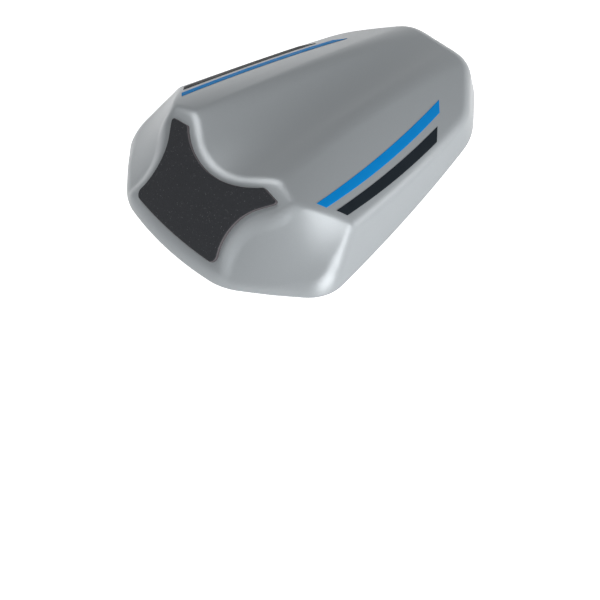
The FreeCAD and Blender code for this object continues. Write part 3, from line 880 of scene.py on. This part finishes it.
class FinishShop:
    """Makes and hands out the materials by slot."""

    def __init__(self) -> None:
        """Makes every finish."""
        self.made = {finish.slot: self.build(finish) for finish in FINISHES}

    def build(self, finish: Finish) -> bpy.types.Material:
        """Builds one material: patchy colour and roughness, fine relief and a broad swell.

        Args:
            finish: Its look.

        Returns:
            The material.
        """
        material = bpy.data.materials.new(finish.name)
        graph = Graph(material)
        place = graph.add("TexCoord").outputs["Object"]
        patches = graph.noise(place, finish.patch)
        colours = {"Color1": linear(finish.colour), "Color2": linear(finish.other)}
        colour = graph.add("MixRGB", colours, {"Fac": patches}).outputs["Color"]
        if finish.speckle:
            colour = self.speckles(graph, finish, place, colour)
        settings = {
            "Metallic": finish.metallic,
            "IOR": finish.ior,
            "Specular IOR Level": finish.specular,
            "Coat Weight": finish.coat,
            "Coat Roughness": finish.coat_roughness,
        }
        links = {
            "Base Color": colour,
            "Roughness": graph.ramp(patches, NOISE_RANGE, finish.roughness),
            "Normal": self.relief(graph, finish, place),
        }
        shader = graph.add("BsdfPrincipled", settings, links)
        graph.add("OutputMaterial", {}, {"Surface": shader.outputs["BSDF"]})
        return material

    def speckles(self, graph: Graph, finish: Finish, place: Socket, colour: Socket) -> Socket:
        """Adds pale specks: the cores of some cells of a random pattern.

        Args:
            graph: The material's nodes.
            finish: The look.
            place: Socket of the position.
            colour: Socket of the colour under the specks.

        Returns:
            Socket of the speckled colour.
        """
        cells = graph.cells(place, finish.speckle_size)
        core = graph.ramp(cells.outputs["Distance"], SPECK_EDGE)
        shade = graph.add("SeparateColor", {}, {"Color": cells.outputs["Color"]}).outputs["Red"]
        chosen = graph.ramp(shade, (1.0 - finish.speckle_share, 1.0))
        amount = graph.add("Math", {"operation": "MULTIPLY"}, {0: core, 1: chosen}).outputs[0]
        paint = {"Color2": linear(finish.speckle)}
        return graph.add("MixRGB", paint, {"Fac": amount, "Color1": colour}).outputs["Color"]

    def relief(self, graph: Graph, finish: Finish, place: Socket) -> Socket:
        """Adds the fine grain, over a broad swell where the finish has one.

        Args:
            graph: The material's nodes.
            finish: The look.
            place: Socket of the position.

        Returns:
            Socket of the bumped normal.
        """
        if finish.grain is Grain.CELLS:
            grain = graph.cells(place, finish.grain_size).outputs["Distance"]
        else:
            if finish.grain is Grain.BRUSHED:
                # Stretched along Z, so the grain reads as drawn or turned lines.
                stretch = {"Scale": BRUSH_SCALE}
                place = graph.add("Mapping", stretch, {"Vector": place}).outputs["Vector"]
            grain = graph.noise(place, finish.grain_size)
        fine = graph.add("Bump", {"Distance": finish.grain_depth * MM}, {"Height": grain})
        if finish.swell:
            broad = graph.noise(place, finish.swell, detail=1.0)
            wave = graph.add("Bump", {"Distance": finish.swell_depth * MM}, {"Height": broad})
            graph.tree.links.new(wave.outputs["Normal"], fine.inputs["Normal"])
        return fine.outputs["Normal"]

    def dress(self, piece: bpy.types.Object, slot: str) -> None:
        """Gives a piece the finish of one slot.

        Args:
            piece: The object.
            slot: Name of the finish.
        """
        piece.data.materials.clear()
        piece.data.materials.append(self.made[slot])


# Pieces


@dataclass(frozen=True)
class PaintedShell:
    """The painted moulding as one closed wall: outside, rounded rim edge, inside and bosses."""

    form: CowlForm
    shop: FinishShop
    bosses: BossSizes = BossSizes()
    around: int = 480
    up: int = 150
    inner_up: int = 34
    rim_steps: int = 4
    edge_radius: float = 0.8
    slit_share: float = 0.72
    reach: Pair = (118.0, 150.0)
    search: Pair = (0.5, 190.0)

    def fan(self, angles: Array) -> tuple[Array, Array]:
        """Rays from a line along the middle, each towards its own point of an ellipse.

        The start is the target's y times the slit's share, so the top row meets on that line.

        Args:
            angles: Elevations in radians, one per row.

        Returns:
            Origins and unit directions, rows by columns.
        """
        turn = turns(self.around, 0.5)
        target = np.stack([self.reach[0] * np.sin(turn), -self.reach[1] * np.cos(turn)], axis=-1)
        start = np.zeros_like(target)
        start[:, 1] = target[:, 1] * self.slit_share
        level = target - start
        level /= np.linalg.norm(level, axis=-1, keepdims=True)
        directions = np.zeros((len(angles), self.around, 3))
        directions[..., :2] = level[None] * np.cos(angles)[:, None, None]
        directions[..., 2] = np.sin(angles)[:, None]
        origins = np.full_like(directions, self.edge_radius)
        origins[..., :2] = start[None]
        return origins, directions

    def wall_rows(self, count: int, level: float) -> Array:
        """Rows from the rim up to the slit, at one depth below the outside.

        Args:
            count: Number of rows.
            level: The depth.

        Returns:
            Points, rows by columns.
        """
        origins, directions = self.fan(np.linspace(0.0, np.pi / 2.0, count))
        rows = first_crossing(self.form.depth, origins, directions, *self.search, level)
        rows[-1, :, 0] = 0.0
        return rows

    def rim_rows(self) -> Array:
        """Rows round the rim's lower edge: a quarter circle, a flat and a quarter circle.

        Returns:
            Points, rows by columns.
        """
        arc = np.linspace(0.0, np.pi / 2.0, self.rim_steps + 1)[1:]
        radius = self.edge_radius
        depths = radius * (1.0 - np.cos(arc))
        levels = radius * (1.0 - np.sin(arc))
        origins, directions = self.fan(np.zeros(2 * len(arc)))
        origins[..., 2] = np.concatenate([levels, levels[::-1]])[:, None]
        wanted = np.concatenate([depths, self.form.rim.wall - depths[::-1]])[:, None]
        return first_crossing(self.form.depth, origins, directions, *self.search, wanted)

    def boss(self, x: float, y: float) -> Surface:
        """One boss: a bored post from the floor's level up into the skin's wall.

        Args:
            x: Plan position across.
            y: Plan position along.

        Returns:
            The closed post.
        """
        sizes = self.bosses
        turn = turns(sizes.around)
        profile = np.array(sizes.profile())
        rows = np.zeros((len(profile) + 2, sizes.around, 3))
        rows[:-2, :, 0] = profile[:, :1] * np.cos(turn)
        rows[:-2, :, 1] = profile[:, :1] * np.sin(turn)
        rows[:-2, :, 2] = profile[:, 1:]
        rows[-2, :, :2] = rows[-3, :, :2]
        rows[..., 0] += x
        rows[..., 1] += y
        up = np.broadcast_to(UP, rows[-2:].shape)
        foot = rows[-2:].copy()
        foot[..., 2] = sizes.foot
        middle = self.form.rim.wall / 2.0
        rows[-2:] = first_crossing(self.form.depth, foot, up, *sizes.search, middle)
        pole = np.zeros(sizes.around, dtype=int)
        return grid_surface(rows, Wrap.AROUND, first=pole, last=pole)

    def build(self) -> None:
        """Builds the shell and puts it in place of its CAD node."""
        outside = self.wall_rows(self.up, 0.0)
        inside = self.wall_rows(self.inner_up, self.form.rim.wall)
        rows = np.concatenate([inside[::-1], self.rim_rows()[::-1], outside])
        column = np.arange(self.around)
        slit = np.minimum(column, self.around - 1 - column)
        surface = grid_surface(rows, Wrap.AROUND, first=slit, last=slit)
        for x, y in self.bosses.places(self.form.rim):
            surface = surface.joined(self.boss(x, y))
        piece = mesh_object("cowl_skin", surface)
        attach(piece, ROOT)
        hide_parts("cowl_shell")
        self.shop.dress(piece, "silver_paint")


@dataclass(frozen=True)
class BackrestPad:
    """The pad bonded to the front face: a crowned closed form with a rounded upper edge."""

    form: CowlForm
    shop: FinishShop
    sizes: PadSizes = PadSizes()
    around: int = 1440
    edge_steps: int = 6
    top_steps: int = 22
    top_spread: float = 1.3
    under_steps: int = 6
    side_share: float = 0.4
    reach: float = 90.0
    sunk: float = 0.1
    side_limit: float = 0.72

    def outline_depth(self, points: Array) -> Array:
        """Depth inside the pad's plan outline.

        Four curves bound the right half: the front arc; the waist, a circle that runs on as its
        tangent to the wing's tip; the straight wing end; and the hollow top arc. Neighbours are
        joined by rolling-ball corners.

        Args:
            points: Plan positions, last axis x, y, z with z unused.

        Returns:
            Depth, positive inside.
        """
        sizes = self.sizes
        side = points[..., :2].copy()
        side[..., 0] = np.abs(side[..., 0])
        waist = np.array(sizes.waist_centre)
        tip = np.array(sizes.wing_outer)
        low = sizes.low_corner()
        front_y = self.front_y()
        front_radius = (low[0] ** 2 + (low[1] - front_y) ** 2) / (2.0 * (low[1] - front_y))
        to_front = side - np.array([0.0, front_y + front_radius])
        front_far = np.linalg.norm(to_front, axis=-1)
        front = front_radius - front_far, to_front / front_far[..., None]
        to_waist = side - waist
        waist_far = np.linalg.norm(to_waist, axis=-1)
        bearing = math.atan2(tip[1] - waist[1], tip[0] - waist[0])
        bearing += math.acos(sizes.waist_radius / float(np.hypot(*(tip - waist))))
        out = np.array([math.cos(bearing), math.sin(bearing)])
        along = np.array([out[1], -out[0]])
        straight = to_waist @ along > 0.0
        waist_depth = np.where(straight, to_waist @ out, waist_far) - sizes.waist_radius
        waist_normal = np.where(straight[..., None], -out, -to_waist / waist_far[..., None])
        run = sizes.inner_corner() - tip
        end_normal = np.array([run[1], -run[0]]) / float(np.hypot(*run))
        end_depth = -((side - tip) @ end_normal)
        end = end_depth, np.broadcast_to(end_normal, side.shape)
        to_top = side - np.array([0.0, sizes.top_centre_y])
        top_far = np.linalg.norm(to_top, axis=-1)
        top = top_far - sizes.top_radius, -to_top / top_far[..., None]
        corners = (
            (front, (waist_depth, waist_normal), sizes.corner_radius),
            ((waist_depth, waist_normal), end, sizes.tip_radius),
            (end, top, sizes.corner_radius),
        )
        return np.minimum.reduce(
            [rounded_corner(a[0], b[0], a[1], b[1], radius)[0] for a, b, radius in corners]
        )

    def front_y(self) -> float:
        """Foremost y of the outline."""
        return self.form.rim.foremost_y + self.sizes.front_margin

    def plane(self) -> Pair:
        """Plane through the pad's front and top edges.

        Returns:
            Its slope along Y, and its level at the origin.
        """
        skin = self.form.skin
        front = self.front_y()
        dip = self.sizes.top_centre_y - self.sizes.top_radius
        low = skin.grown_height(0.0, front, self.sizes.thickness)
        high = skin.grown_height(0.0, dip, self.sizes.thickness)
        slope = (high - low) / (dip - front)
        return slope, low - slope * front

    def rows(self) -> Array:
        """Rows from the pole underneath, out round the edge and in to the pole on top.

        Each row has a plan inset, a share of the way to the centre and a rise above the skin.
        The edge is a quarter circle; the rise over the rest is the fourth power of the share
        taken from the crown's height. Points lie on lines square to the face's plane.

        Returns:
            Points, rows by columns.
        """
        sizes = self.sizes
        arc = np.linspace(0.0, np.pi / 2.0, self.edge_steps + 1)
        radius = sizes.edge_radius
        shoulder = sizes.thickness - sizes.crown
        inward = 1.0 - np.linspace(0.0, 1.0, self.top_steps + 1)[1:] ** self.top_spread
        under = np.linspace(0.0, 1.0, self.under_steps + 1)[:-1]
        inset = np.concatenate(
            [np.zeros(len(under) + 2), radius * (1.0 - np.cos(arc)), np.full(len(inward), radius)]
        )
        share = np.concatenate([under, np.ones(2 + len(arc)), inward])
        rise = np.concatenate(
            [
                np.full(len(under) + 1, -self.sunk),
                [shoulder * self.side_share],
                shoulder - radius + radius * np.sin(arc),
                shoulder + sizes.crown * (1.0 - inward**4),
            ]
        )
        turn = turns(self.around)
        level = np.stack([np.cos(turn), np.sin(turn), np.zeros(self.around)], axis=-1)
        centre = np.array([0.0, sizes.centre_y, 0.0])
        directions = np.broadcast_to(level, (len(inset), self.around, 3))
        origins = np.broadcast_to(centre, directions.shape)
        wanted = inset[:, None]
        plan = first_crossing(self.outline_depth, origins, directions, 0.0, self.reach, wanted)
        plan = centre + (plan - centre) * share[:, None, None]
        slope, base = self.plane()
        steep = math.hypot(1.0, slope)
        square = np.array([0.0, -slope / steep, 1.0 / steep])
        plan[..., 2] = base + slope * plan[..., 1]
        start = plan - square * sizes.search
        lines = np.broadcast_to(square, start.shape)
        far = 2.0 * sizes.search
        return first_crossing(self.form.depth, start, lines, 0.0, far, -rise[:, None])

    def build(self) -> None:
        """Builds the pad and puts it in place of its CAD node."""
        pole = np.zeros(self.around, dtype=int)
        surface = grid_surface(self.rows(), Wrap.AROUND, first=pole, last=pole)
        piece = mesh_object("face_pad", surface)
        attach(piece, ROOT)
        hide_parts("backrest_pad")
        self.shop.dress(piece, "pad_rubber")
        piece.data.materials.append(self.shop.made["pad_side"])
        normals = np.zeros(3 * len(piece.data.polygons))
        piece.data.polygons.foreach_get("normal", normals)
        slope = self.plane()[0]
        facing = normals.reshape(-1, 3) @ np.array([0.0, -slope, 1.0]) / math.hypot(1.0, slope)
        # Faces that lean away from the face's plane take the pad_side finish, whose paler colour
        # is a painted sheen.
        side = (np.abs(facing) < self.side_limit).astype(np.int32)
        piece.data.polygons.foreach_set("material_index", side)


@dataclass(frozen=True)
class FilmStripe:
    """A film stripe on each side: a thin sheet between two arcs, laid on the skin."""

    form: CowlForm
    shop: FinishShop
    sizes: StripeSizes
    slot: str
    along: int = 150
    across: int = 12
    rolled: float = 0.12
    sunk: float = 0.05
    ray_foot: float = 5.0
    ray_length: float = 70.0

    def edge(self, ends: tuple, shares: Array) -> Array:
        """Points along the circle through three plan points.

        Args:
            ends: First, middle and last point.
            shares: Shares of the way, 0 to 1.

        Returns:
            Plan points.
        """
        a, b, c = (complex(*point) for point in ends)
        w = (c - a) / (b - a)
        centre = a + (b - a) * (w - abs(w) ** 2) / (2j * w.imag)
        sweep = np.angle((c - centre) / (a - centre))
        turned = centre + (a - centre) * np.exp(1j * sweep * shares)
        return np.stack([turned.real, turned.imag], axis=-1)

    def shares(self, start: tuple, end: tuple, count: int) -> Array:
        """Both ends of one direction of the stripe, and even steps between rolled edges."""
        rolled = self.rolled / float(np.hypot(*np.subtract(end, start)))
        return np.concatenate([[0.0], np.linspace(rolled, 1.0 - rolled, count), [1.0]])

    def surface(self) -> Surface:
        """The right stripe as a closed sheet whose upper edges roll down to the skin.

        The plan point at shares (u, v) lies v of the way from the inner to the outer arc at u.

        Returns:
            The sheet.
        """
        u = self.shares(self.sizes.inner[0], self.sizes.inner[2], self.along)
        v = self.shares(self.sizes.inner[1], self.sizes.outer[1], self.across)
        inner = self.edge(self.sizes.inner, u)[:, None]
        outer = self.edge(self.sizes.outer, u)[:, None]
        plan = inner + (outer - inner) * v[None, :, None]
        rise = np.full(plan.shape[:2], FILM_THICKNESS)
        rise[[0, -1]] = FILM_THICKNESS - self.rolled
        rise[:, [0, -1]] = FILM_THICKNESS - self.rolled
        loop = np.concatenate([plan[:, ::-1], plan], axis=1)
        level = np.concatenate([np.full_like(rise, self.sunk), -rise], axis=1)
        foot = np.full((*loop.shape[:2], 1), self.ray_foot)
        start = np.concatenate([loop, foot], axis=-1)
        up = np.broadcast_to(UP, start.shape)
        rows = first_crossing(self.form.depth, start, up, 0.0, self.ray_length, level)
        return grid_surface(rows, Wrap.AROUND, capped=True)

    def build(self) -> None:
        """Builds both stripes and puts them in place of their CAD nodes."""
        right = self.surface()
        for side, surface in (("right", right), ("left", right.mirrored())):
            piece = mesh_object(f"{self.slot}_{side}", surface)
            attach(piece, ROOT)
            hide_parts(f"{self.sizes.name}_{side}")
            self.shop.dress(piece, self.slot)


@dataclass(frozen=True)
class HiddenFittings:
    """CAD pieces that are shown as they are, each with its finish."""

    shop: FinishShop

    def build(self, skip: set[str]) -> None:
        """Dresses every CAD node that no new piece replaces.

        Args:
            skip: Names of the replaced nodes.
        """
        slots = {entry["node"]: entry["material_slot"] for entry in frame["record"]["subparts"]}
        for name, piece in frame["nodes"].items():
            if name not in skip:
                self.shop.dress(piece, slots[name])
                log.info("%s: dressed as %s", name, slots[name])


# Studio


@dataclass(frozen=True)
class CameraSizes:
    """The camera as fitted to the photograph's upper view."""

    place: Triple = (413.97, -368.86, 543.84)
    right: Triple = (0.66953396, 0.74222911, -0.02863967)
    up: Triple = (-0.58432591, 0.55011659, 0.59660285)
    lens: float = 57.83
    sensor: float = 36.0
    clip: Pair = (0.01, 50.0)


@dataclass(frozen=True)
class LampSizes:
    """One square lamp that faces the object; lengths in metres."""

    name: str
    place: Triple
    side: float
    power: float


LAMPS = (
    LampSizes("front", (0.45, -0.95, 0.95), 0.9, 1.4),
    LampSizes("right", (1.42, -0.26, 0.47), 0.85, 18.0),
    LampSizes("rear_right", (1.1, 0.95, 0.24), 0.6, 3.0),
    LampSizes("overhead", (-0.66, -0.03, 1.05), 0.42, 4.6),
)


@dataclass(frozen=True)
class Studio:
    """Floor, lamps, world and camera."""

    floor_half: float = 4000.0
    floor_drop: float = 0.2
    floor_grey: float = 0.75
    floor_glow: float = 0.85
    ceiling: float = 0.11
    bright_up_to: float = 0.24
    dim_from: float = 0.37
    centre: Triple = (0.0, 0.0, 0.025)

    def build(self) -> None:
        """Builds the whole studio."""
        self.camera(CameraSizes())
        self.floor()
        self.world()
        for sizes in LAMPS:
            self.lamp(sizes)
        bpy.context.scene.view_settings.view_transform = "Standard"
        log.info("studio: %d lamps", len(LAMPS))

    def camera(self, sizes: CameraSizes) -> None:
        """Adds the camera.

        Args:
            sizes: Its place, axes and lens.
        """
        data = bpy.data.cameras.new("camera")
        data.sensor_width = sizes.sensor
        data.lens = sizes.lens
        data.clip_start, data.clip_end = sizes.clip
        right = Vector(sizes.right)
        up = Vector(sizes.up)
        back = right.cross(up)
        turn = Matrix((right, up, back)).transposed().to_4x4()
        made = placed("camera", data)
        made.matrix_world = Matrix.Translation(Vector(sizes.place) * MM) @ turn
        bpy.context.scene.camera = made

    def floor(self) -> None:
        """Adds a pale floor whose own glow shows to the camera and in reflections."""
        side = np.array([-self.floor_half, self.floor_half])
        x, y = np.meshgrid(side, side)
        rows = np.stack([x, y, np.full_like(x, -self.floor_drop)], axis=-1)
        piece = mesh_object("floor", grid_surface(rows, Wrap.OPEN))
        material = bpy.data.materials.new("floor")
        graph = Graph(material)
        grey = (self.floor_grey, self.floor_grey, self.floor_grey, 1.0)
        matt = graph.add("BsdfDiffuse", {"Color": grey})
        path = graph.add("LightPath")
        seen = path.outputs["Is Camera Ray"]
        for kind in ("Is Glossy Ray", "Is Transmission Ray"):
            either = {0: seen, 1: path.outputs[kind]}
            seen = graph.add("Math", {"operation": "MAXIMUM"}, either).outputs[0]
        dimmed = {"operation": "MULTIPLY", 1: self.floor_glow}
        strength = graph.add("Math", dimmed, {0: seen}).outputs[0]
        glow = graph.add("Emission", {"Color": WHITE}, {"Strength": strength})
        both = graph.add("AddShader", {}, {0: matt.outputs[0], 1: glow.outputs[0]})
        graph.add("OutputMaterial", {}, {"Surface": both.outputs[0]})
        piece.data.materials.append(material)

    def world(self) -> None:
        """Sets a world that is white up to well above the horizon and dim overhead."""
        world = bpy.data.worlds.new("studio")
        bpy.context.scene.world = world
        graph = Graph(world)
        place = graph.add("TexCoord").outputs["Generated"]
        height = graph.add("SeparateXYZ", {}, {"Vector": place}).outputs["Z"]
        settings = {
            "interpolation_type": "SMOOTHSTEP",
            "From Min": self.bright_up_to,
            "From Max": self.dim_from,
            "To Min": 1.0,
            "To Max": self.ceiling,
        }
        level = graph.add("MapRange", settings, {"Value": height}).outputs["Result"]
        light = graph.add("Background", {"Color": WHITE}, {"Strength": level})
        graph.add("OutputWorld", {}, {"Surface": light.outputs[0]})

    def lamp(self, sizes: LampSizes) -> None:
        """Adds one lamp.

        Args:
            sizes: Its name, place, side and power in watts.
        """
        data = bpy.data.lights.new(sizes.name, "AREA")
        data.size = sizes.side
        data.energy = sizes.power
        made = placed(sizes.name, data)
        made.location = sizes.place
        aim = Vector(self.centre) - Vector(sizes.place)
        made.rotation_euler = aim.to_track_quat("-Z", "Y").to_euler()


def main() -> None:
    """Builds the dressed cowl and its studio."""
    logging.basicConfig(level=logging.INFO)
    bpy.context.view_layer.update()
    shop = FinishShop()
    form = CowlForm()
    PaintedShell(form, shop).build()
    BackrestPad(form, shop).build()
    FilmStripe(form, shop, BLUE_STRIPE, "blue_film").build()
    FilmStripe(form, shop, BLACK_STRIPE, "black_film").build()
    stripes = (BLUE_STRIPE, BLACK_STRIPE)
    replaced = {f"{sizes.name}_{side}" for sizes in stripes for side in ("left", "right")}
    HiddenFittings(shop).build(replaced | {"cowl_shell", "backrest_pad"})
    Studio().build()


if __name__ == "__main__":
    main()
